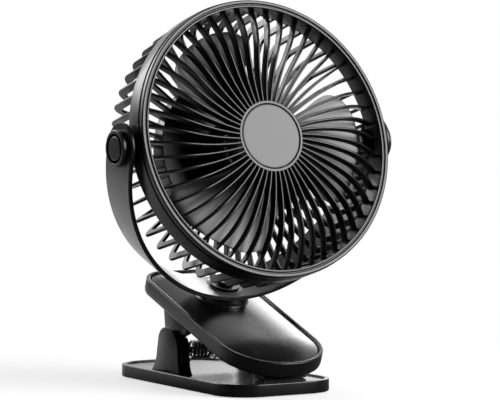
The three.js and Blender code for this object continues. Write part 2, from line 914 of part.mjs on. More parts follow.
// One broad blade: its leading and trailing edges are arcs in plan, and it is pitched and cupped.
function blade(index) {
  const rings = [];
  const root = propellerHubRadius - 1;
  const across = 6;
  for (const t of [0, 0.22, 0.46, 0.7, 0.86, 0.96, 1]) {
    const r = root + t * (bladeTip - root);
    const round = Math.sqrt(1 - Math.max(0, (t - 0.7) / 0.31) ** 2.6);
    const span = (26 + 20 * Math.sin(Math.min(1, t * 1.25) * Math.PI * 0.5)) * DEGREE * (0.45 + 0.55 * round);
    const middle = propellerTurn + (index * 2 * Math.PI) / bladeCount - bladeLean * t;
    const top = [];
    const bottom = [];
    for (let k = 0; k <= across; k++) {
      const u = k / across;
      const angle = middle + (u - 0.5) * 2 * span * 0.72;
      const reach = Math.min(1, bladePitchRadius / r + 0.35);
      const height = bladeMiddle + bladePitch * (u - 0.5) * reach + bladeCup * Math.sin(u * Math.PI);
      top.push(polar(r, angle, height + bladeThickness / 2));
      bottom.push(polar(r, angle, height - bladeThickness / 2));
    }
    rings.push([...bottom, ...top.reverse()]);
  }
  return loft(rings);
}

function propeller() {
  const inner = propellerHubRadius - propellerWall;
  const hub = turned([
    [inner, propellerHubRear],
    [propellerHubRadius, propellerHubRear],
    [propellerHubRadius, propellerHubFront - 3],
    [propellerHubRadius - 3, propellerHubFront - 0.6],
    [6, propellerHubFront],
    [0, propellerHubFront],
    [0, shaftFront + seat],
    [shaftRadius + seat, shaftFront + seat],
    [shaftRadius + seat, propellerHubRear + 0.6],
    [4, propellerHubRear + 0.6],
    [4, propellerHubFront - 3.4],
    [inner, propellerHubFront - 3.4],
  ]);
  const blades = Array.from({ length: bladeCount }, (_, i) => blade(i));
  const hollow = disc(inner, propellerHubRear - 12, propellerHubFront - 3.4, 4, 48);
  return join(cut(join(...blades), hollow, disc(4.5, -20, 30, 0, 48)), hub);
}

// ---- Head: controls ----

function rearCover() {
  const spigot = housingRadius - housingWall - seat;
  const plate = turned([
    [0, coverOuter - 0.6],
    [housingRadius - 12, coverOuter - 0.4],
    [housingRadius - 1.2, coverOuter],
    [housingRadius, coverOuter + 1],
    [housingRadius, coverInner],
    [spigot, coverInner],
    [spigot, coverInner + 1.6],
    [spigot - 1.6, coverInner + 1.6],
    [spigot - 1.6, coverInner],
    [0, coverInner],
  ], 48);
  const far = coverOuter - 3;
  const tools = [
    disc(buttonRadius + running, far, coverInner + 1, 0, 40),
    disc(lampRadius + running, far, coverInner + 1, 0, 20).translate(0, lampPlace, 0),
    block(
      -socketWidth / 2 - running, socketWidth / 2 + running,
      socketPlace - socketHeight / 2 - running, socketPlace + socketHeight / 2 + running,
      far, coverInner + 1,
    ),
  ];
  for (let i = 0; i < coverScrewCount; i++) {
    const at = screwPlace(i);
    tools.push(disc(coverScrewRadius + running, far, coverInner + 1, 0, 20).translate(...at, 0));
    tools.push(disc(coverScrewHead + running, far, coverOuter + 1, 0, 24).translate(...at, 0));
  }
  return cut(plate, ...tools);
}

function coverScrew(index) {
  const head = coverOuter + 1 - seat;
  const screw = turned([
    [0, head - 1.2],
    [coverScrewHead - 0.4, head - 1.2],
    [coverScrewHead, head - 0.8],
    [coverScrewHead, head],
    [coverScrewRadius, head],
    [coverScrewRadius, housingFloor - 0.5 - seat],
    [0, housingFloor - 0.5 - seat],
  ], 20);
  return screw.translate(...screwPlace(index), 0);
}

function controlBoard() {
  return disc(boardRadius, boardRear, boardFront, 5, 40);
}

// The switch's carrier spans the hole in the board's middle.
function buttonSwitch() {
  const half = switchSide / 2;
  const front = boardRear - seat;
  const carrier = block(-8, 8, -half, half, front - 0.6, front);
  const body = block(-half, half, -half, half, front - switchHeight, front - 0.4);
  const room = plungerEnd + buttonTravel + 0.2;
  return cut(join(carrier, body), disc(plungerRadius + running, front - 9, room, 0, 20));
}

// The plunger rests against the button's inner face and moves with it.
function switchPlunger() {
  return disc(plungerRadius, plungerEnd - plungerLength, plungerEnd, 0, 20);
}

function powerButton() {
  const flange = coverInner + seat;
  return turned([
    [0, coverOuter - buttonStandOut - 0.6],
    [buttonRadius - 0.8, coverOuter - buttonStandOut - 0.4],
    [buttonRadius, coverOuter - buttonStandOut + 0.4],
    [buttonRadius, flange],
    [buttonFlange, flange],
    [buttonFlange, flange + buttonFlangeThickness],
    [0, flange + buttonFlangeThickness],
  ], 30);
}

function indicatorLight() {
  return disc(lampRadius, coverOuter - 0.6, boardRear - seat, 0, 20).translate(0, lampPlace, 0);
}

function chargingSocket() {
  const half = socketHeight / 2;
  const rear = coverOuter - 0.2;
  const side = socketWidth / 2;
  const wall = 0.5;
  const shell = block(-side, side, socketPlace - half, socketPlace + half, rear, boardRear - seat);
  const mouth = block(
    wall - side, side - wall,
    socketPlace - half + wall, socketPlace + half - wall,
    rear - 1, rear + 4.5,
  );
  return cut(shell, mouth);
}

// ---- Assembly ----

function mesh(name, geometry, look) {
  const made = new THREE.Mesh(geometry, look);
  made.name = name;
  return made;
}

const clipFan = new THREE.Group();

const base = new THREE.Group();
base.add(mesh("base_plate", basePlate(), satinPlastic()));
base.add(mesh("base_foot", baseFoot(), rubber()));
base.add(mesh("base_pad", basePad(), rubber()));
const pin = mesh("hinge_pin", hingePin(), steel());
pin.position.set(0, hingeY, hingeZ);
base.add(pin);
const springBase = mesh("spring_base_half", springHalf(-1, -23 * DEGREE, baseLanding, 0), steel());
springBase.position.set(0, hingeY, hingeZ);
base.add(springBase);
clipFan.add(base);

const jaw = new THREE.Group();
jaw.position.set(0, 0, swivelFootZ);
jaw.rotation.x = clipTilt;
jaw.add(mesh("jaw_shell", jawShell(), satinPlastic()));
jaw.add(mesh("jaw_lid", jawLid(), glossPlastic()));
jaw.add(mesh("battery_pack", batteryPack(), material(colours.pouch, 0.5)));
jaw.add(mesh("charge_board", chargeBoard(), material(colours.board, 0.5)));
jaw.add(mesh("swivel_post", swivelPost(), steel()));
jaw.add(mesh(
  "swivel_collar",
  disc(collarRadius, neckTop + seat, neckTop + seat + collarHeight, postRadius + running),
  mattePlastic(),
));
clipFan.add(jaw);
clipFan.add(mesh("jaw_pad", jawPad(), rubber()));
const springJaw = mesh("spring_jaw_half", springHalf(1, 62 * DEGREE, jawLanding, clipTilt), steel());
springJaw.position.set(0, hingeY, hingeZ);
clipFan.add(springJaw);

const yoke = new THREE.Group();
yoke.position.set(0, 0, pivotAbove);
jaw.add(yoke);
yoke.add(mesh("yoke_strap", yokeStrap(), satinPlastic()));
yoke.add(mesh("swivel_washer", swivelWasher(), steel()));
yoke.add(mesh("swivel_screw", swivelScrew(), steel()));

const head = new THREE.Group();
head.rotation.x = Math.PI / 2 - headTilt;
yoke.add(head);

for (const [side, turn] of [["right", 0], ["left", Math.PI]]) {
  yoke.add(mesh("pivot_cap_" + side, pivotCap().rotateZ(turn), satinPlastic()));
  yoke.add(mesh("pivot_washer_" + side, pivotWasher().rotateZ(turn), mattePlastic()));
  head.add(mesh("pivot_screw_" + side, pivotScrew().rotateZ(turn), steel()));
}

head.add(mesh("front_grille", frontGrille(), satinPlastic()));
head.add(mesh("hub_badge", hubBadge(), glossPlastic()));
head.add(mesh("rear_cage", rearCage(), satinPlastic()));
head.add(mesh("motor_can", motorCan(), steel()));
head.add(mesh("motor_end_bell", motorEndBell(), mattePlastic()));
head.add(mesh("motor_front_bush", motorBush(motorFront - motorWall / 2), steel()));
head.add(mesh("motor_rear_bush", motorBush(motorRear + 1.4), steel()));
head.add(mesh("motor_shaft", motorShaft(), steel()));
head.add(mesh("motor_magnet", motorMagnet(), mattePlastic()));
head.add(mesh("motor_rotor", motorRotor(), material(colours.copper, 0.4, 1)));
head.add(mesh("propeller", propeller(), glossPlastic()));
head.add(mesh("rear_cover", rearCover(), satinPlastic()));
head.add(mesh("control_board", controlBoard(), material(colours.board, 0.5)));
head.add(mesh("button_switch", buttonSwitch(), mattePlastic()));
head.add(mesh("switch_plunger", switchPlunger(), mattePlastic()));
head.add(mesh("power_button", powerButton(), glossPlastic()));
head.add(mesh("indicator_light", indicatorLight(), material(colours.lamp, 0.1)));
head.add(mesh("charging_socket", chargingSocket(), steel()));
for (let i = 0; i < coverScrewCount; i++) {
  head.add(mesh("cover_screw_" + (i + 1), coverScrew(i), steel()));
}

export default clipFan;
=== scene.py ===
# %% [markdown]
# # A clip fan, dressed for a studio picture
# The real object is a small rechargeable fan. A cage of thin ribs holds three broad blades, a
# U-shaped yoke carries the cage, and the yoke turns on top of a spring clip.
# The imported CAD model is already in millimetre-true place, so this lesson only adds fine surfaces
# over its solids, gives everything a finish, and sets up the light and the camera.

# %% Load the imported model
import json
import math

import bmesh
import bpy
import numpy as np
from mathutils import Matrix, Vector


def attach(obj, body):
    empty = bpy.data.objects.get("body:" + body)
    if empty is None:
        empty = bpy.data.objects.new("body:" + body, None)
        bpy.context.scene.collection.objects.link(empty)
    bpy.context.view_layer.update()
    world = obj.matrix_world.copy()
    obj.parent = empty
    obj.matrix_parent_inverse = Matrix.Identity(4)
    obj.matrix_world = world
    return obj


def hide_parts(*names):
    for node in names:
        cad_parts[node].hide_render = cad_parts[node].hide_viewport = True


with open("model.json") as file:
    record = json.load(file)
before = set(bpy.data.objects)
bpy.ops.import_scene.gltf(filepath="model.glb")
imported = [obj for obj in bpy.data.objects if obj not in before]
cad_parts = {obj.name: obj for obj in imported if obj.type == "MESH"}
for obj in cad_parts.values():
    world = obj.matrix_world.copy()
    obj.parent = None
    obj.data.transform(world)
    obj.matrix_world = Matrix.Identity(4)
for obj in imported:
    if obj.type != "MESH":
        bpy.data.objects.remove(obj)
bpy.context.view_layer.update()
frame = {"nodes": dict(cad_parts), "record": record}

# %% [markdown]
# ## Three frames of reference
# The clip's jaw leans back by 20 degrees, the yoke stands square on the jaw, and the fan head
# tips forward in the yoke. Each new piece could be drawn straight in world space, but its
# numbers would be hard to read. So a piece is drawn in millimetres in its own frame, and one
# matrix for each frame carries it to its place.

# %% Frames of the jaw, the yoke and the head
CLIP_TILT = math.radians(20)
SWIVEL_FOOT = 45.2
PIVOT_ABOVE = 90.8
HEAD_LEAN = math.radians(90 - 35.2)

world_frame = Matrix.Identity(4)
jaw_frame = Matrix.Translation((0, 0, SWIVEL_FOOT)) @ Matrix.Rotation(CLIP_TILT, 4, "X")
yoke_frame = jaw_frame @ Matrix.Translation((0, 0, PIVOT_ABOVE))
head_frame = yoke_frame @ Matrix.Rotation(HEAD_LEAN, 4, "X")
pivot_mm = head_frame.translation
print("tilt axis passes through", [round(v, 2) for v in pivot_mm])

# %% [markdown]
# ## Surfaces from grids of points
# Most of the parts are moulded, turned or bent, so each is one smooth function of two
# parameters. A loop that adds points one at a time would be slow and hard to read. Here numpy
# works out the whole grid at once, and one helper joins the grid's rows with quads.

# %% Grids into meshes
def quads(rows, columns, close_rows=False, close_columns=False, start=0):
    """Faces of a grid: point (i, j) has the number start + i * columns + j."""
    i = np.arange(rows if close_rows else rows - 1)[:, None]
    j = np.arange(columns if close_columns else columns - 1)[None, :]
    i2, j2 = (i + 1) % rows, (j + 1) % columns
    corners = [i * columns + j, i * columns + j2, i2 * columns + j2, i2 * columns + j]
    return start + np.stack([np.broadcast_to(c, (i.size, j.size)) for c in corners], -1).reshape(-1, 4)


class Shape:
    """Points in millimetres and their faces, gathered from several surfaces of one piece."""

    def __init__(self):
        self.points, self.faces, self.count = [], [], 0

    def grid(self, points, close_rows=False, close_columns=False):
        """Adds a grid of shape (rows, columns, 3)."""
        rows, columns = points.shape[:2]
        self.faces.append(quads(rows, columns, close_rows, close_columns, self.count))
        self.points.append(points.reshape(-1, 3))
        self.count += rows * columns
        return self

    def repeat(self, grids, close_columns=True):
        """Adds many grids at once, shape (copies, rows, columns, 3), each capped at both ends."""
        copies, rows, columns = grids.shape[:3]
        faces = quads(rows, columns, False, close_columns)
        cap = np.arange(columns)
        half = columns // 2
        k = np.arange(half - 1)
        strip = np.stack([cap[k], cap[k + 1], cap[columns - 2 - k], cap[columns - 1 - k]], -1)
        ends = np.concatenate([strip[:, ::-1], strip + (rows - 1) * columns])
        each = np.concatenate([faces, ends])
        offset = np.arange(copies)[:, None, None] * rows * columns
        self.faces.append((each[None] + offset + self.count).reshape(-1, 4))
        self.points.append(grids.reshape(-1, 3))
        self.count += copies * rows * columns
        return self

    def add(self, other, mirror=(1, 1, 1)):
        """Adds another shape, with each axis of its points multiplied by mirror."""
        self.faces += [faces + self.count for faces in other.faces]
        self.points += [points * mirror for points in other.points]
        self.count += other.count
        return self


def make_piece(name, shape, place, body, nodes, finish, smooth_angle=35):
    """One object from a shape: its points go through the frame's matrix, and millimetres to metres."""
    points = np.concatenate(shape.points)
    matrix = np.array(place)
    points = (points @ matrix[:3, :3].T + matrix[:3, 3]) / 1000
    mesh = bpy.data.meshes.new(name)
    mesh.from_pydata(points.tolist(), [], np.concatenate(shape.faces).tolist())
    tidy = bmesh.new()
    tidy.from_mesh(mesh)
    bmesh.ops.remove_doubles(tidy, verts=tidy.verts, dist=1e-6)
    bmesh.ops.dissolve_degenerate(tidy, dist=1e-7, edges=tidy.edges)
    bmesh.ops.recalc_face_normals(tidy, faces=tidy.faces)
    tidy.to_mesh(mesh)
    tidy.free()
    piece = bpy.data.objects.new(name, mesh)
    bpy.context.scene.collection.objects.link(piece)
    mesh.shade_smooth()
    mesh.set_sharp_from_angle(angle=math.radians(smooth_angle))
    mesh.materials.append(finish)
    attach(piece, body)
    if nodes:
        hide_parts(*nodes)
    print(name, len(mesh.vertices), "points,", len(mesh.polygons), "faces")
    return piece


slot_of = {s["node"]: s["material_slot"] for s in frame["record"]["subparts"]}

# %% [markdown]
# ## Profiles with rounded corners
# A moulded edge is never razor sharp: it has a small radius, and that radius is what catches
# the light. A bevel modifier could add it later, but on a turned or swept piece it is simpler
# to round the corners of the flat profile first and then carry the profile round.

# %% Rounded profiles, turned and swept pieces
def rounded(corners, radius=0.4, steps=4, closed=True):
    """Each corner of a flat polygon becomes an arc-like curve between points radius before and
    after it: a quadratic blend (1-t)^2 a + 2t(1-t) corner + t^2 b."""
    p = np.asarray(corners, float)
    sizes = np.broadcast_to(radius, len(p)).astype(float)
    before, after = np.roll(p, 1, 0) - p, np.roll(p, -1, 0) - p
    lb, la = np.linalg.norm(before, axis=1), np.linalg.norm(after, axis=1)
    reach = np.minimum(sizes, 0.49 * np.minimum(lb, la))[:, None]
    a, b = p + before / lb[:, None] * reach, p + after / la[:, None] * reach
    t = np.linspace(0, 1, steps + 1)[None, :, None]
    curve = (1 - t) ** 2 * a[:, None] + 2 * t * (1 - t) * p[:, None] + t ** 2 * b[:, None]
    if not closed:
        return np.concatenate([p[:1], curve[1:-1].reshape(-1, 2), p[-1:]])
    return curve.reshape(-1, 2)


def turn(profile, segments=128):
    """A profile of (radius, height) carried round Z: (r cos a, r sin a, height)."""
    a = np.linspace(0, 2 * np.pi, segments, endpoint=False)[:, None]
    r, h = profile[None, :, 0], profile[None, :, 1]
    return np.stack([r * np.cos(a), r * np.sin(a), h + 0 * a], -1)


def turned(shape, profile, segments=128, closed=True):
    """Adds a turned surface. A profile that starts and ends on the axis isn't closed."""
    return shape.grid(turn(np.asarray(profile, float), segments), close_rows=True, close_columns=closed)


def along_x(shape):
    """Turns what was drawn round Z so that it stands round X: (x, y, z) becomes (z, y, -x)."""
    shape.points = [np.stack([p[:, 2], p[:, 1], -p[:, 0]], -1) for p in shape.points]
    return shape


def tube(points, radius, sides=14):
    """A round wire along points: at each one, a ring of cos and sin times the radius, in the
    plane square to the path. The second axis is kept square to X."""
    p = np.asarray(points, float)
    along = np.gradient(p, axis=0)
    along /= np.linalg.norm(along, axis=1)[:, None]
    across = np.array([1.0, 0, 0]) - along * along[:, :1]
    across /= np.linalg.norm(across, axis=1)[:, None]
    third = np.cross(along, across)
    a = np.linspace(0, 2 * np.pi, sides, endpoint=False)[None, :, None]
    return p[:, None] + radius * (np.cos(a) * across[:, None] + np.sin(a) * third[:, None])


# %% [markdown]
# ## The finishes
# Everything that shows on the real fan is black plastic. It looks lively because three finishes
# sit side by side: a satin moulding, a smoother lid, and dull rubber. One material with one
# colour would look like a toy, so each finish gets its own roughness, a fine moulded grain and
# faint handling marks. Numbers that are the same all over are set on the shader itself, and only
# what varies is made with nodes.

# %% Black plastic, rubber, metal and board
WEAR_SIZE, GRAIN_HEIGHT, TINT_SPREAD = 55, 0.0002, 0.15


def finish(name, colour, roughness, grain=0.0, grain_size=900, spread=0.06, metallic=0.0, coat=0.0,
           coat_roughness=0.05, specular=0.5, streak=None):
    """A procedural finish: noise varies the roughness and the colour a little, and finer noise
    bumps the surface as a moulded grain."""
    made = bpy.data.materials.new(name)
    made.use_nodes = True
    nodes, links = made.node_tree.nodes, made.node_tree.links
    shader = nodes["Principled BSDF"]
    shader.inputs["Metallic"].default_value = metallic
    shader.inputs["Coat Weight"].default_value = coat
    shader.inputs["Coat Roughness"].default_value = coat_roughness
    shader.inputs["Specular IOR Level"].default_value = specular
    place = nodes.new("ShaderNodeTexCoord")
    source = place.outputs["Object"]
    if streak:
        stretch = nodes.new("ShaderNodeMapping")
        stretch.inputs["Scale"].default_value = streak
        links.new(source, stretch.inputs["Vector"])
        source = stretch.outputs["Vector"]
    wear = nodes.new("ShaderNodeTexNoise")
    wear.inputs["Scale"].default_value = WEAR_SIZE
    wear.inputs["Detail"].default_value = 5
    links.new(source, wear.inputs["Vector"])
    rough = nodes.new("ShaderNodeMapRange")
    rough.inputs["To Min"].default_value = max(roughness - spread, 0.02)
    rough.inputs["To Max"].default_value = roughness + spread
    links.new(wear.outputs["Fac"], rough.inputs["Value"])
    links.new(rough.outputs["Result"], shader.inputs["Roughness"])
    tint = nodes.new("ShaderNodeMix")
    tint.data_type = "RGBA"
    tint.inputs["A"].default_value = (*[c * (1 - TINT_SPREAD) for c in colour], 1)
    tint.inputs["B"].default_value = (*[c * (1 + TINT_SPREAD) for c in colour], 1)
    links.new(wear.outputs["Fac"], tint.inputs["Factor"])
    links.new(tint.outputs["Result"], shader.inputs["Base Color"])
    if grain:
        fine = nodes.new("ShaderNodeTexNoise")
        fine.inputs["Scale"].default_value = grain_size
        fine.inputs["Detail"].default_value = 3
        links.new(source, fine.inputs["Vector"])
        bump = nodes.new("ShaderNodeBump")
        bump.inputs["Strength"].default_value = grain
        bump.inputs["Distance"].default_value = GRAIN_HEIGHT
        links.new(fine.outputs["Fac"], bump.inputs["Height"])
        links.new(bump.outputs["Normal"], shader.inputs["Normal"])
    return made


satin_black = finish("satin black plastic", (0.004, 0.0041, 0.0043), 0.28, grain=0.02, specular=0.35)
strap_black = finish("strap plastic", (0.006, 0.006, 0.0063), 0.3, grain=0.02, specular=0.4)
badge_grey = finish("satin badge", (0.02, 0.02, 0.0205), 0.34, grain=0.02, spread=0.02, specular=0.4)
lid_black = finish("polished lid", (0.004, 0.004, 0.0043), 0.27, grain=0.006, grain_size=300, spread=0.03,
                   specular=0.5)
blade_black = finish("blade plastic", (0.014, 0.014, 0.0145), 0.36, grain=0.02, specular=0.6)
gloss_black = finish("polished black plastic", (0.006, 0.006, 0.0065), 0.10, grain=0.012, grain_size=300,
                     spread=0.03, specular=0.7, coat=0.6)
matte_black = finish("matte black plastic", (0.012, 0.012, 0.013), 0.55, grain=0.1)
black_rubber = finish("black rubber", (0.009, 0.009, 0.009), 0.75, grain=0.3, grain_size=600, specular=0.3)
spring_steel = finish("spring steel", (0.12, 0.12, 0.125), 0.28, grain=0.04, metallic=1.0, streak=(1, 6, 6))
bright_steel = finish("bright steel", (0.52, 0.53, 0.55), 0.22, grain=0.03, metallic=1.0, streak=(1, 1, 8))
copper_wire = finish("varnished copper", (0.45, 0.17, 0.06), 0.35, grain=0.2, metallic=1.0, streak=(1, 1, 30))
green_board = finish("green circuit board", (0.008, 0.09, 0.035), 0.35, grain=0.06, coat=0.4)
foil_pouch = finish("foil pouch", (0.34, 0.36, 0.39), 0.38, grain=0.25, grain_size=120, metallic=0.8)
light_guide = finish("frosted light guide", (0.62, 0.72, 0.8), 0.25, spread=0.04)
black_steel = finish("blackened steel", (0.02, 0.02, 0.021), 0.4, grain=0.05, metallic=0.7)
look_of_slot = {
    "black_steel": black_steel,
    "satin_plastic": satin_black,
    "gloss_plastic": gloss_black,
    "matte_plastic": matte_black,
    "rubber": black_rubber,
    "steel": bright_steel,
    "copper": copper_wire,
    "board": green_board,
    "pouch": foil_pouch,
    "lamp": light_guide,
}
for node, made in frame["nodes"].items():
    made.data.materials.clear()
    made.data.materials.append(look_of_slot[slot_of[node]])
# The swivel's screw shows against the strap, so it wears the strap's finish. The socket's bright
# rim would break up into marks like letters in a small picture, so it is blackened.
look_of_node = {"swivel_washer": strap_black, "swivel_screw": strap_black, "charging_socket": black_steel}
for node, look in look_of_node.items():
    frame["nodes"][node].data.materials[0] = look
print("finishes:", len(look_of_slot))

# %% [markdown]
# ## The front grille
# Fifty thin ribs run from the hub to the rim, and each leans sideways as it goes outward, so
# the whole grille seems to swirl. Near the rim they dive backwards to meet the inside of the
# wall. A curve with a bevel would give round wires, but these ribs are moulded: thin seen from
# the front and deep from the side. So a rounded rectangle is carried along each rib's path, and
# all fifty are one array.

# %% Ribs, rim and hub of the grille
HUB_RADIUS, BADGE_RADIUS, WALL_INNER, RIB_COUNT = 19.4, 17.4, 71.1, 50
BEZEL_FRONT, HUB_FRONT, RIB_DEPTH, RIB_THICK = 17.5, 21.5, 5.0, 1.3
WALL_REAR, BEZEL_RADIUS, WALL_OUTER = 4.0, 75.2, 72.9
RIB_START, RIB_PITCH, RIB_SWEEP = 2.1, 360 / RIB_COUNT, 0.2


def rib_front(r):
    """The ribs' front edge: flat as far as 46 mm, then falling with the square of the distance."""
    t = np.clip((r - 46) / (WALL_INNER - 46), 0, 1)
    return HUB_FRONT - 10 * t ** 2


def grille_ribs():
    """Rib k at radius r stands at the angle 2.1 deg + 7.2 k deg - 0.2 deg for each mm past the
    hub. The section is a rounded rectangle, its long side along the fan's axis."""
    r = np.linspace(HUB_RADIUS - 0.8, WALL_INNER + 0.5, 30)
    k = np.arange(RIB_COUNT)[:, None]
    angle = np.radians(RIB_START + RIB_PITCH * k - RIB_SWEEP * (r - HUB_RADIUS))
    lean = np.radians(-RIB_SWEEP) * r
    radial = np.stack([np.cos(angle), np.sin(angle), 0 * angle], -1)
    around = np.stack([-np.sin(angle), np.cos(angle), 0 * angle], -1)
    square = around - radial * lean[None, :, None]
    square /= np.linalg.norm(square, axis=-1, keepdims=True)
    middle = radial * r[None, :, None]
    middle[..., 2] = rib_front(r) - RIB_DEPTH / 2
    w, d = RIB_THICK / 2, RIB_DEPTH / 2
    section = rounded([(-w, -d), (w, -d), (w, d), (-w, d)], [0.3, 0.3, 0.55, 0.55], steps=3)
    ribs = middle[:, :, None] + square[:, :, None] * section[None, None, :, :1]
    ribs[..., 2] += section[None, None, :, 1]
    return ribs


front = Shape().repeat(grille_ribs())
turned(front, rounded([
    (WALL_INNER, WALL_REAR), (WALL_OUTER, WALL_REAR), (WALL_OUTER, BEZEL_FRONT - 3.1),
    (BEZEL_RADIUS, BEZEL_FRONT - 3.1), (BEZEL_RADIUS, BEZEL_FRONT), (73.35, BEZEL_FRONT),
    (73.1, BEZEL_FRONT - 0.9), (72.5, BEZEL_FRONT - 0.9), (72.25, BEZEL_FRONT), (WALL_INNER, BEZEL_FRONT),
], [0.3, 0.3, 0.3, 0.3, 0.7, 0.3, 0.25, 0.25, 0.3, 0.5]), 200)
hub_rear, badge_seat = HUB_FRONT - RIB_DEPTH, HUB_FRONT - 2.1
turned(front, np.concatenate([[(0, hub_rear)], rounded([
    (1, hub_rear), (HUB_RADIUS, hub_rear), (HUB_RADIUS, HUB_FRONT), (BADGE_RADIUS + 0.3, HUB_FRONT),
    (BADGE_RADIUS + 0.3, badge_seat), (1, badge_seat),
], [0, 0.5, 0.5, 0.25, 0.1, 0], closed=False), [(0, badge_seat)]]), 128, closed=False)
make_piece("front_grille_fine", front, head_frame, "head", ["front_grille"], satin_black)

# %% [markdown]
# ## The hub badge
# A satin disc covers the middle of the grille. It is a turned piece with a soft edge and a
# very slight crown, which keeps its reflection from looking like flat paper.

# %% Badge
badge = Shape()
crown = np.linspace(0, BADGE_RADIUS - 0.9, 12)
badge_low, badge_top = HUB_FRONT - 1.75, HUB_FRONT - 0.2
turned(badge, np.concatenate([
    [(0, badge_low), (BADGE_RADIUS, badge_low)],
    rounded([(BADGE_RADIUS, badge_low), (BADGE_RADIUS, badge_top - 0.1), (BADGE_RADIUS - 0.9, badge_top)],
            [0, 0.6, 0], closed=False),
    np.stack([crown[::-1], badge_top + 0.05 * (1 - (crown[::-1] / 17) ** 2)], -1),
]), 128, closed=False)
make_piece("hub_badge_fine", badge, head_frame, "head", ["hub_badge"], badge_grey)

# %% [markdown]
# ## The rear cage
# Fifty straight vanes run back from a smooth band, turn a corner and reach the motor housing.
# Each vane is a strip between an inner and an outer edge line, so the section is stretched from
# one line to the other at every station, and it stays upright through the corner.

# %% Vanes, band, housing and pivot lugs
BAND_RADIUS, VANE_OUTER, VANE_DEPTH, CAGE_REAR, CAGE_CORNER = 75.6, 75.2, 4.6, -25.5, 8.0
CAGE_TAPER, VANE_THICK = 0.06, 1.6
BAND_INNER, BAND_REAR, BAND_FRONT = 73.3, 3.5, 14.0
HOUSING_RADIUS, HOUSING_FLOOR, HOUSING_REAR = 42.5, -23.0, -29.7


def cage_vanes():
    """The outer edge is a line that leans inward a little, a quarter circle of 8 mm and a line,
    and the inner edge is the same line moved inward by the vane's depth."""
    t = np.linspace(0, 1, 14)
    corner_r = VANE_OUTER - CAGE_TAPER * (BAND_REAR - CAGE_REAR - CAGE_CORNER) - CAGE_CORNER
    corner_h = CAGE_REAR + CAGE_CORNER
    quarter = np.stack([np.cos(t * np.pi / 2), -np.sin(t * np.pi / 2)], -1)
    outer = (corner_r, corner_h) + CAGE_CORNER * quarter
    inner = (corner_r, corner_h) + (CAGE_CORNER - VANE_DEPTH) * quarter
    # The ends sink a little into the band and into the housing's wall.
    start, end = BAND_REAR + 0.4, HOUSING_RADIUS - 0.8
    outer = np.concatenate([[(VANE_OUTER, start)], outer, [(end, CAGE_REAR)]])
    inner = np.concatenate([[(VANE_OUTER - VANE_DEPTH, start)], inner, [(end, CAGE_REAR + VANE_DEPTH)]])
    depth = np.linalg.norm(outer - inner, axis=1)[:, None]
    w, edge = VANE_THICK / 2, 0.4
    side = np.array([-w + edge, -w, -w, -w + edge, w - edge, w, w, w - edge])
    # How far along from the inner to the outer edge each of the eight section points lies.
    ends = np.array([[0, 0, 1, 1, 1, 1, 0, 0]])
    shift = np.array([[0, edge, -edge, 0, 0, -edge, edge, 0]])
    share = ends + shift / depth
    flat = inner[:, None] + (outer - inner)[:, None] * share[..., None]
    angle = np.radians(RIB_PITCH) * np.arange(RIB_COUNT)[:, None, None]
    r, h = flat[None, ..., 0], flat[None, ..., 1]
    x = r * np.cos(angle) - side * np.sin(angle)
    y = r * np.sin(angle) + side * np.cos(angle)
    return np.stack([x, y, h + 0 * x], -1)


cage = Shape().repeat(cage_vanes())
turned(cage, rounded([
    (BAND_INNER, BAND_REAR), (BAND_RADIUS, BAND_REAR), (BAND_RADIUS, BAND_FRONT), (BAND_INNER, BAND_FRONT),
], [0.3, 0.5, 0.3, 0.3]), 200)
wall_front, cup_front = HOUSING_FLOOR + 2, -9
turned(cage, rounded([
    (5.5, wall_front), (5.5, HOUSING_FLOOR), (40.5, HOUSING_FLOOR), (40.5, HOUSING_REAR),
    (HOUSING_RADIUS, HOUSING_REAR), (HOUSING_RADIUS, wall_front), (16.9, wall_front), (16.9, cup_front),
    (15.1, cup_front), (15.1, wall_front),
], [0.1, 0.1, 0.4, 0.3, 0.3, 0.8, 0.6, 0.4, 0.4, 0.1]), 160)
LUG_BORE, LUG_RADIUS, LUG_FACE = 2.3, 9, 76
TAB_BACK, TAB_HALF, tab_front = -9, 6, BAND_REAR + 0.1
lug = along_x(turned(Shape(), rounded([
    (LUG_BORE, BAND_INNER), (LUG_RADIUS, BAND_INNER), (LUG_RADIUS, LUG_FACE), (LUG_BORE, LUG_FACE),
], [0.1, 0.1, 0.5, 0.2]), 64))
tab_edge = rounded([
    (TAB_BACK, -TAB_HALF), (tab_front, -TAB_HALF), (tab_front, TAB_HALF), (TAB_BACK, TAB_HALF),
], [3, 0.1, 0.1, 3], 6)
# Four copies of the tab's edge, a little smaller at the two faces, from the inside outward.
tab_x = np.array([66.3, 66.8, 73.0, 73.6])[:, None]
tab_share = np.array([0.94, 1, 1, 0.97])[:, None]
tab = Shape().repeat(np.stack([
    tab_x + 0 * tab_edge[None, :, 0], tab_share * tab_edge[None, :, 1], tab_share * tab_edge[None, :, 0],
], -1)[None])
for side in (1, -1):
    cage.add(lug, (side, side, 1)).add(tab, (side, side, 1))
SCREW_BORE, SCREW_BOSS, SCREW_CIRCLE, boss_front = 1.6, 3.2, 34.5, HOUSING_FLOOR + 0.5
boss = turn(rounded([
    (SCREW_BORE, HOUSING_REAR), (SCREW_BOSS, HOUSING_REAR),
    (SCREW_BOSS, boss_front), (SCREW_BORE, boss_front),
], 0.2), 32)
for k in range(3):
    a = math.pi / 2 + (k + 0.5) * 2 * math.pi / 3
    screw_place = [SCREW_CIRCLE * math.cos(a), SCREW_CIRCLE * math.sin(a), 0]
    cage.grid(boss + screw_place, close_rows=True, close_columns=True)
make_piece("rear_cage_fine", cage, head_frame, "head", ["rear_cage"], satin_black)

# %% [markdown]
# ## The propeller
# Three broad, overlapping blades push the air. A blade is a thin sheet that twists and cups, so
# it is a grid of radius by chord: the chord's width grows outward and rounds off at the tip, and
# the height rises from the trailing to the leading edge.

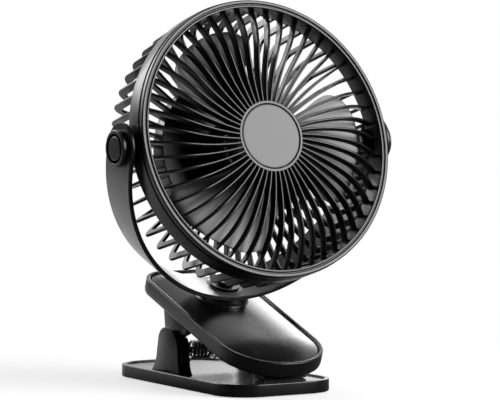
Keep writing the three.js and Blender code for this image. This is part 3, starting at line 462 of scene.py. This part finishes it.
# %% Blades and spinner
BLADE_TIP, BLADE_HUB, BLADE_MIDDLE = 62.5, 14.0, 4.4


def blade_sheet(index):
    """At radius r the blade spans an angle that grows as a sine and closes at the tip as
    sqrt(1 - q^2.6). Its height is 4.4 + 11 (u - 1/2) reach + 1.6 sin(pi u), and the thickness
    thins to the edges as a half ellipse."""
    root = BLADE_HUB - 1
    v = np.linspace(0, 1, 60)[:, None]
    r = root + (BLADE_TIP - root) * (1 - (1 - v) ** 1.5)
    t = (r - root) / (BLADE_TIP - root)
    q = np.clip((t - 0.7) / 0.302, 0, 1)
    close = np.sqrt(1 - q ** 2.6)
    span = np.radians(26 + 20 * np.sin(np.minimum(1, t * 1.25) * np.pi / 2)) * (0.45 + 0.55 * close)
    middle = math.radians(4) + index * 2 * math.pi / 3 - math.radians(11) * t
    u = np.linspace(0, 1, 33)[None, :]
    angle = middle + (u - 0.5) * 2 * span * 0.72
    reach = np.minimum(1, 24 / r + 0.35)
    height = BLADE_MIDDLE + 11 * (u - 0.5) * reach + 1.6 * np.sin(u * np.pi)
    thin = 0.75 * np.sqrt(np.clip(1 - (2 * u - 1) ** 6, 0, 1)) * (1 - 0.5 * t)
    top = np.stack([r * np.cos(angle), r * np.sin(angle), height + thin], -1)
    bottom = np.stack([r * np.cos(angle), r * np.sin(angle), height - thin], -1)
    return np.concatenate([bottom, top[:, ::-1]], 1)


blades = Shape().repeat(np.stack([blade_sheet(k) for k in range(3)]))
turned(blades, rounded([
    (12.2, 0.5), (BLADE_HUB, 0.5), (BLADE_HUB, 10.5), (11, 12.9), (6, 13.5), (0.5, 13.5), (0.5, 10.3),
    (1.8, 10.3), (1.8, 1.1), (4, 1.1), (4, 10.1), (12.2, 10.1),
], [0.3, 0.3, 2, 1, 1, 0, 0, 0.1, 0.1, 0.1, 0.4, 0.4]), 96)
make_piece("propeller_fine", blades, head_frame, "propeller_shaft", ["propeller"], blade_black)

# %% [markdown]
# ## The yoke
# The yoke is a flat strap bent into half an ellipse, with round ends at the tilt pivots. A
# rectangle bent with a curve modifier would do, but its ends would stay square. Here the strap
# is a grid of length by width: past the pivot the width follows a circle and closes.

# %% Strap, pivot rings and caps
REACH, DROP, THICK, HALF_WIDE = 80.0, 85.0, 2.4, 13.5
BOSS_RADIUS, BOSS_FACE, CAP_RADIUS = 9.8, 83.2, 6.4


def strap_line(inset):
    """Half an ellipse below the pivots and straight above them: (x, z) and the half width."""
    a = np.linspace(0, np.pi, 121)
    x, z = (REACH - inset) * np.cos(a), -(DROP - inset) * np.sin(a)
    up = HALF_WIDE * np.sin(np.linspace(0, np.pi / 2, 16))[1:]
    x = np.concatenate([np.full(15, REACH - inset), x, np.full(15, inset - REACH)])
    z = np.concatenate([up[::-1], z, up])
    half = np.sqrt(np.clip(HALF_WIDE ** 2 - np.clip(z, 0, None) ** 2, 0, None))
    return x, z, half


def strap():
    """Outer and inner lines joined by a section with soft edges: the half width is smaller by
    0.6 mm on the two faces than in the middle of the thickness."""
    share = np.array([0, 0, 0.2, 0.5, 0.8, 1, 1, 0.8, 0.5, 0.2])
    side = np.array([-1, 1, 1, 1, 1, 1, -1, -1, -1, -1])
    pull = np.array([0.6, 0.6, 0.12, 0, 0.12, 0.6, 0.6, 0.12, 0, 0.12])
    xo, zo, half = strap_line(0)
    xi, zi, _ = strap_line(THICK)
    x = xo[:, None] + (xi - xo)[:, None] * share
    z = zo[:, None] + (zi - zo)[:, None] * share
    wide = side * np.clip(half[:, None] - pull, 0, None)
    return np.stack([x, wide, z], -1)


yoke = Shape().repeat(strap()[None])
RING_INNER, RING_SEAT, CAP_SEAT = 7.9, 78.2, 79.9
ring = along_x(turned(Shape(), rounded([
    (RING_INNER, RING_SEAT), (BOSS_RADIUS, RING_SEAT), (BOSS_RADIUS, BOSS_FACE), (RING_INNER, BOSS_FACE),
], [0.1, 0.1, 0.8, 0.4]), 96))
for side in (1, -1):
    yoke.add(ring, (side, side, 1))
POST_BORE, FOOT_RADIUS, PAD_RADIUS = 4.9, 13.7, 9
turned(yoke, rounded([
    (POST_BORE, -DROP), (FOOT_RADIUS, -DROP), (FOOT_RADIUS, -82.8), (PAD_RADIUS, -82.0), (POST_BORE, -82.0),
], [0.1, 0.1, 0.6, 0.6, 0.1]), 96)
make_piece("yoke_strap_fine", yoke, yoke_frame, "yoke", ["yoke_strap"], strap_black)

cap = along_x(turned(Shape(), np.concatenate([[(0, CAP_SEAT)], rounded([
    (CAP_RADIUS, CAP_SEAT), (CAP_RADIUS, BOSS_FACE - 0.2), (CAP_RADIUS - 0.6, BOSS_FACE), (0.5, BOSS_FACE),
], [0, 0.5, 0.3, 0], closed=False), [(0, BOSS_FACE)]]), 64, closed=False))
for name, side in (("right", 1), ("left", -1)):
    node = "pivot_cap_" + name
    make_piece(node + "_fine", Shape().add(cap, (side, side, 1)), yoke_frame, "yoke", [node], satin_black)

# %% [markdown]
# ## The clip's halves
# Both halves are trays with a rounded outline: almost a half circle at the nose, and smaller
# corners at the tail. The outline is the support line of four circles, which means that in each
# direction the point that lies furthest out is taken. An inset moves the line inward without
# kinks, so a list of insets and heights gives rims, grooves and domes.

# %% Outline and skin of a clip half
OUTLINE_POINTS = 240


def outline(size, inset, count=OUTLINE_POINTS):
    """In direction a, the furthest of four corner circles: centre + radius (cos a, sin a)."""
    nose, tail, nose_wide, tail_wide, nose_corner, tail_corner = size
    rn, rt = max(nose_corner - inset, 0.6), max(tail_corner - inset, 0.6)
    cn = (nose_wide / 2 - inset - rn, -nose + inset + rn, rn)
    ct = (tail_wide / 2 - inset - rt, tail - inset - rt, rt)
    circles = np.array([cn, ct, (-ct[0], ct[1], rt), (-cn[0], cn[1], rn)])
    a = np.linspace(0, 2 * np.pi, count, endpoint=False) + np.pi / count
    d = np.stack([np.cos(a), np.sin(a)], -1)
    best = np.argmax(circles[:, :2] @ d.T + circles[:, 2:], axis=0)
    return circles[best, :2] + circles[best, 2:] * d


def skin(shape, size, steps):
    """Rings of the outline through (inset, height) steps. The first and last are closed by
    shrinking them to half their size and then to their middle point."""
    rings = [np.column_stack([outline(size, i), np.full(OUTLINE_POINTS, h)]) for i, h in steps]
    first, last = rings[0], rings[-1]
    middle_first, middle_last = first.mean(0), last.mean(0)
    before = [middle_first + 0 * first, middle_first + 0.5 * (first - middle_first)]
    after = [middle_last + 0.5 * (last - middle_last), middle_last + 0 * last]
    return shape.grid(np.stack(before + rings + after), close_columns=True)


BASE_SIZE = (68.5, 68.5, 68, 64, 19, 20)
JAW_SIZE = (79.5, 41.7, 60, 60, 28, 14)

base = skin(Shape(), BASE_SIZE, rounded([
    (5, 1.9), (5, 0.4), (0, 0.4), (0, 7.2), (2.4, 7.2), (2.6, 6.0), (12, 6.0),
], [0, 0.1, 0.9, 0.7, 0.5, 0.4, 0], 5, closed=False))


def side_plate(shape, line, x0, x1, edge=0.45):
    """A plate drawn in Y and Z and thick along X, with its outline pulled in by edge at the faces."""
    line = np.asarray(line, float)
    ahead, behind = np.roll(line, -1, 0), np.roll(line, 1, 0)
    along = ahead - behind
    along /= np.linalg.norm(along, axis=1)[:, None]
    inward = np.stack([-along[:, 1], along[:, 0]], -1)
    area = 0.5 * np.sum(line[:, 0] * np.roll(line[:, 1], -1) - np.roll(line[:, 0], -1) * line[:, 1])
    inward *= np.sign(area)
    part = 0.3 * edge
    steps = [(x0, edge), (x0 + part, part), (x0 + edge, 0), (x1 - edge, 0), (x1 - part, part), (x1, edge)]
    rings = np.stack([
        np.column_stack([np.full(len(line), x), line + inward * pull]) for x, pull in steps])
    return shape.repeat(rings[None])


HINGE_Y, HINGE_Z = 12.0, 18.0


def bend(a, control, b, steps=10):
    """Points of the curve (1-t)^2 a + 2t(1-t) control + t^2 b, without its end."""
    t = np.linspace(0, 1, steps, endpoint=False)[:, None]
    return (1 - t) ** 2 * np.array(a) + 2 * t * (1 - t) * np.array(control) + t ** 2 * np.array(b)


ear_line = np.concatenate([
    bend((-4, 5.6), (12, 5.6), (29, 5.6), 4),
    bend((29, 5.6), (23, 10.2), (22, 18)),
    bend((22, 18), (21, 22), (20.5, 25), 3),
    bend((20.5, 25), (18.5, 31), (12, 31)),
    bend((12, 31), (3, 30), (0, 23)),
    bend((0, 23), (-0.6, 17), (-1, 12.2), 3),
    bend((-1, 12.2), (-1.5, 8.2), (-4, 5.6)),
])
BASE_EAR, BASE_WEB, JAW_EAR = (24.6, 28.0), (20.2, 25.2), (20.9, 24.3)
WEB_FRONT, WEB_TOP = 1.6, 26
web_line = np.column_stack([ear_line[:, 0].clip(None, WEB_FRONT), ear_line[:, 1].clip(None, WEB_TOP)])
for side in (1, -1):
    ear = side_plate(Shape(), ear_line, *BASE_EAR)
    web = side_plate(Shape(), web_line, *BASE_WEB)
    base.add(ear, (side, 1, 1)).add(web, (side, 1, 1))
make_piece("base_plate_fine", base, world_frame, "base", ["base_plate"], satin_black)

# %% [markdown]
# ## The upper jaw and its lid
# The jaw is a deep rim that holds the battery, and a polished lid lies in it with a fine groove
# all round. The lid rises quickly from the groove and then flattens, which makes the long soft
# highlight of the real one.

# %% Jaw, hinge ears, lid and neck
jaw = skin(Shape(), JAW_SIZE, rounded([
    (6, -8.4), (0.6, -8.4), (0, -6.6), (0, -0.4), (0.5, 0), (1.9, 0), (2.4, -1.2), (2.5, -6.6), (8, -6.6),
], [0, 1.5, 1.5, 0.5, 0.6, 0.5, 0.4, 0.3, 0], 5, closed=False))
drop = HINGE_Z - SWIVEL_FOOT
hinge_v = HINGE_Y * math.cos(CLIP_TILT) + drop * math.sin(CLIP_TILT)
hinge_n = -HINGE_Y * math.sin(CLIP_TILT) + drop * math.cos(CLIP_TILT)
arc = np.radians(np.linspace(160, 375, 40))
step = hinge_n + 15.5 * math.cos(CLIP_TILT)
jaw_ear_line = np.concatenate([
    [(-7, -7.9), (-9, step + 1.5)],
    bend((-9, step + 1.5), (-9, step), (-7.5, step - 0.9), 5)[1:],
    bend((-7.5, step - 0.9), (hinge_v - 6, step - 3), (hinge_v - 6.2, step - 5), 6),
    np.stack([hinge_v + 8 * np.cos(arc), hinge_n + 8 * np.sin(arc)], -1),
    [(19.5, -7.9)],
])
for side in (1, -1):
    ear = side_plate(Shape(), jaw_ear_line, *JAW_EAR, 0.35)
    jaw.add(ear, (side, 1, 1))
make_piece("jaw_shell_fine", jaw, jaw_frame, "jaw", ["jaw_shell"], satin_black)

t = np.linspace(0, 1, 26) ** 1.6
dome = np.stack([2.8 + t * 25.0, -0.9 + 3.1 * (1 - (1 - t) ** 2.4)], -1)
lid = skin(Shape(), JAW_SIZE, np.concatenate([[(4.2, -4.2), (2.9, -4.2), (2.8, -4.0)], dome]))
# The neck spreads into the lid at its foot, and the collar and the yoke's foot carry on its line.
NECK_TOP, COLLAR_LOW, COLLAR_TOP, COLLAR_RADIUS = 4.6, 4.65, 5.7, 13.75
turned(lid, rounded([
    (POST_BORE, 0.5), (15.6, 1.0), (14.2, 2.1), (13.9, 2.8), (13.8, NECK_TOP), (POST_BORE, NECK_TOP),
], [0.1, 0.5, 0.8, 0.5, 0.1, 0.1]), 96)
make_piece("jaw_lid_fine", lid, jaw_frame, "jaw", ["jaw_lid"], lid_black)

collar = turned(Shape(), rounded([
    (POST_BORE, COLLAR_LOW), (COLLAR_RADIUS, COLLAR_LOW),
    (COLLAR_RADIUS, COLLAR_TOP), (POST_BORE, COLLAR_TOP),
], [0.1, 0.08, 0.08, 0.1]), 96)
make_piece("swivel_collar_fine", collar, jaw_frame, "jaw", ["swivel_collar"], lid_black)

# %% [markdown]
# ## The spring
# A double torsion spring sits on the hinge pin and pushes the two halves of the clip together.
# It is a round wire along a helix with straight legs. The helix is a function of one angle, so
# the path is one array and a ring of points is carried along it.

# %% Spring halves, pin and rubber foot
COIL_RADIUS, COIL_PITCH, COIL_TURNS, COIL_START, WIRE_RADIUS = 4.6, 2.3, 5, 0.7, 0.8
PIN_RADIUS, PIN_HALF = 2, 26.5


def spring_path(side, leg_angle, landing, tilt):
    """A straight leg that ends on a plane, and five turns of radius 4.6 mm and pitch 2.3 mm."""
    start = leg_angle - math.pi / 2
    leg = (landing - COIL_RADIUS * math.sin(start - tilt)) / math.sin(leg_angle - tilt)
    along = np.linspace(0, 1, 161)
    a = start - COIL_TURNS * 2 * np.pi * along
    x = side * (COIL_START + COIL_TURNS * COIL_PITCH * (1 - along))
    coil = np.stack([x, COIL_RADIUS * np.cos(a), COIL_RADIUS * np.sin(a)], -1)
    share = np.linspace(1, 0.04, 12)[:, None] * leg
    foot = coil[:1] + share * np.array([[0, math.cos(leg_angle), math.sin(leg_angle)]])
    return np.concatenate([foot, coil]) + [0, HINGE_Y, HINGE_Z]


BASE_TOP, JAW_BOTTOM, GAP = 6.0, -8.4, 0.3
base_landing = BASE_TOP + GAP + WIRE_RADIUS - HINGE_Z
jaw_landing = JAW_BOTTOM - GAP - WIRE_RADIUS - hinge_n
for name, body, args in (
    ("spring_base_half", "base", (-1, math.radians(-23), base_landing, 0.0)),
    ("spring_jaw_half", "jaw", (1, math.radians(62), jaw_landing, CLIP_TILT)),
):
    wire = Shape().repeat(tube(spring_path(*args), WIRE_RADIUS)[None])
    make_piece(name + "_fine", wire, world_frame, body, [name], spring_steel)

pin = along_x(turned(Shape(), np.concatenate([[(0, -PIN_HALF)], rounded([
    (0.3, -PIN_HALF), (PIN_RADIUS, -PIN_HALF), (PIN_RADIUS, PIN_HALF), (0.3, PIN_HALF),
], [0, 0.3, 0.3, 0], closed=False), [(0, PIN_HALF)]]), 48, closed=False))
pin.points = [p + [0, HINGE_Y, HINGE_Z] for p in pin.points]
make_piece("hinge_pin_fine", pin, world_frame, "base", ["hinge_pin"], bright_steel)

foot_steps = rounded([(8, 0), (5.3, 0), (5.3, 1.6), (9, 1.6)], [0, 0.6, 0.2, 0], 4, closed=False)
foot = skin(Shape(), BASE_SIZE, foot_steps)
make_piece("base_foot_fine", foot, world_frame, "base", ["base_foot"], black_rubber)

# %% [markdown]
# ## Floor, light and camera
# The picture is a plain studio shot on white. A big soft box at the right and in front gives the
# flat, even shine on the rim, the hub and the ribs, because those faces mirror that direction
# towards the camera. A box behind to the right lights the lid and the strap's inside, and a wide
# one behind to the left lights the band. White behind the object comes from the world and the
# floor's colour, not from more light on the object.

# %% Studio
def lamp(name, at, towards, width, height, watts):
    """A rectangular soft box that faces a point, in metres."""
    data = bpy.data.lights.new(name, "AREA")
    data.shape, data.size, data.size_y, data.energy = "RECTANGLE", width, height, watts
    made = bpy.data.objects.new(name, data)
    made.location = at
    made.rotation_euler = (Vector(towards) - Vector(at)).to_track_quat("-Z", "Y").to_euler()
    bpy.context.scene.collection.objects.link(made)
    return made


def smooth_step(tree, source, low, high, to_low, to_high):
    """A value that eases from to_low to to_high while the source goes from low to high."""
    made = tree.nodes.new("ShaderNodeMapRange")
    made.interpolation_type = "SMOOTHSTEP"
    for socket, value in (("From Min", low), ("From Max", high), ("To Min", to_low), ("To Max", to_high)):
        made.inputs[socket].default_value = value
    tree.links.new(source, made.inputs["Value"])
    return made.outputs["Result"]


def combine(tree, operation, first, second):
    """One number made from two, such as their product or the larger one."""
    made = tree.nodes.new("ShaderNodeMath")
    made.operation = operation
    tree.links.new(first, made.inputs[0])
    tree.links.new(second, made.inputs[1])
    return made.outputs["Value"]


def vector_value(tree, operation, source, other=(0, 0, 0)):
    """One number from a vector: its length, or its share along another."""
    made = tree.nodes.new("ShaderNodeVectorMath")
    made.operation = operation
    tree.links.new(source, made.inputs[0])
    made.inputs[1].default_value = other
    return made.outputs["Value"]


# Name, direction from the object, distance, width and height in metres, and watts.
LAMPS = (
    ("key soft box", (0.516, -0.767, 0.382), 1.1, 0.7, 0.7, 20),
    ("back soft box", (0.61, 0.72, 0.33), 1.3, 0.5, 0.4, 3.6),
    ("left soft box", (-0.38, 0.8, 0.46), 1.4, 1.0, 0.6, 12),
)
centre = Vector((0, -0.02, 0.11))
for name, way, far, width, height, watts in LAMPS:
    lamp(name, centre + Vector(way).normalized() * far, centre, width, height, watts)

# A white backdrop stands behind the object, and the room in front of it is dim. Gloss and metal
# show both, and rays straight from the camera always meet white.
BACKDROP_WAY, DIM, WHITE = (0.52, 0.85, 0.1), 0.05, 1.0
world = bpy.data.worlds.new("white studio")
bpy.context.scene.world = world
world.use_nodes = True
tree = world.node_tree
way = tree.nodes.new("ShaderNodeTexCoord").outputs["Generated"]
backward = vector_value(tree, "DOT_PRODUCT", way, Vector(BACKDROP_WAY).normalized())
backdrop = smooth_step(tree, backward, 0.2, 0.85, DIM, WHITE)
seen_straight = tree.nodes.new("ShaderNodeLightPath").outputs["Is Camera Ray"]
background = tree.nodes["Background"]
background.inputs["Color"].default_value = (1, 1, 1, 1)
tree.links.new(combine(tree, "MAXIMUM", seen_straight, backdrop), background.inputs["Strength"])

# The dim floor value is painted shade: the floor's colour in front of the object, seen only in reflections
# and bounced light.
FLOOR_HALF, FLOOR_WHITE, PAINTED_FLOOR_SHADE, UNSHADED_FLOOR_WAY = 6, 0.93, 0.1, (-0.35, 0.94, 0)
floor_mesh = bpy.data.meshes.new("floor")
floor_mesh.from_pydata([
    (-FLOOR_HALF, -FLOOR_HALF, 0), (FLOOR_HALF, -FLOOR_HALF, 0),
    (FLOOR_HALF, FLOOR_HALF, 0), (-FLOOR_HALF, FLOOR_HALF, 0),
], [], [(0, 1, 2, 3)])
floor = bpy.data.objects.new("floor", floor_mesh)
bpy.context.scene.collection.objects.link(floor)
floor_look = bpy.data.materials.new("white floor")
floor_look.use_nodes = True
tree = floor_look.node_tree
shader = tree.nodes["Principled BSDF"]
shader.inputs["Roughness"].default_value = 0.9
shader.inputs["Specular IOR Level"].default_value = 0.0
place = tree.nodes.new("ShaderNodeTexCoord").outputs["Object"]
seen_straight = tree.nodes.new("ShaderNodeLightPath").outputs["Is Camera Ray"]
radius = vector_value(tree, "LENGTH", place)
# Painted shade: for reflections and bounced light the floor's colour is white behind the object and to its
# left and dark in front, which darkens the object's undersides and its reflections. The camera sees white all
# over.
behind = vector_value(tree, "DOT_PRODUCT", place, UNSHADED_FLOOR_WAY)
floor_shade_paint = smooth_step(tree, behind, -0.05, 0.2, PAINTED_FLOOR_SHADE, FLOOR_WHITE)
# Painted shade: beyond half a metre the floor's colour darkens to a quarter, for reflections and bounced
# light only.
far_floor_shade_paint = smooth_step(tree, radius, 0.5, 1.1, 1.0, 0.25)
tone = tree.nodes.new("ShaderNodeMix")
tree.links.new(seen_straight, tone.inputs["Factor"])
tree.links.new(combine(tree, "MULTIPLY", floor_shade_paint, far_floor_shade_paint), tone.inputs["A"])
tone.inputs["B"].default_value = FLOOR_WHITE
tree.links.new(tone.outputs["Result"], shader.inputs["Base Color"])
# The camera sees partly through the floor to the white world, and wholly so far from the object,
# so a faint shadow is left and no horizon shows.
clear = tree.nodes.new("ShaderNodeBsdfTransparent")
floor_mix = tree.nodes.new("ShaderNodeMixShader")
see_through = combine(tree, "MULTIPLY", smooth_step(tree, radius, 0.1, 0.3, 0.6, 1.0), seen_straight)
tree.links.new(see_through, floor_mix.inputs["Fac"])
tree.links.new(shader.outputs["BSDF"], floor_mix.inputs[1])
tree.links.new(clear.outputs["BSDF"], floor_mix.inputs[2])
tree.links.new(floor_mix.outputs["Shader"], tree.nodes["Material Output"].inputs["Surface"])
floor_mesh.materials.append(floor_look)
print("lamps:", [(name, watts) for name, _, _, _, _, watts in LAMPS])

# %% [markdown]
# ## The camera
# The place and the lens come from fitting a camera to the rings, the yoke and the clip. It looks
# from a little above, from the fan's right-hand side.

# %% Camera
PHOTO_WIDTH, FOCAL_PIXELS, SENSOR = 500, 3386, 36
view_azimuth, view_elevation, distance = math.radians(-31.12), math.radians(3.44), 1.837
target = Vector((0.01687, -0.00184, 0.09923))
away = Vector((
    math.sin(view_azimuth) * math.cos(view_elevation),
    -math.cos(view_azimuth) * math.cos(view_elevation),
    math.sin(view_elevation),
))
camera_data = bpy.data.cameras.new("photo camera")
camera_data.sensor_width = SENSOR
camera_data.lens = SENSOR * FOCAL_PIXELS / PHOTO_WIDTH
camera_data.clip_start, camera_data.clip_end = 0.01, 50
camera = bpy.data.objects.new("photo camera", camera_data)
camera.location = target + away * distance
camera.rotation_euler = (-away).to_track_quat("-Z", "Y").to_euler()
bpy.context.scene.collection.objects.link(camera)
bpy.context.scene.camera = camera
bpy.context.scene.view_settings.view_transform = "Standard"
print("camera:", round(camera_data.lens), "mm lens at", [round(v, 3) for v in camera.location])
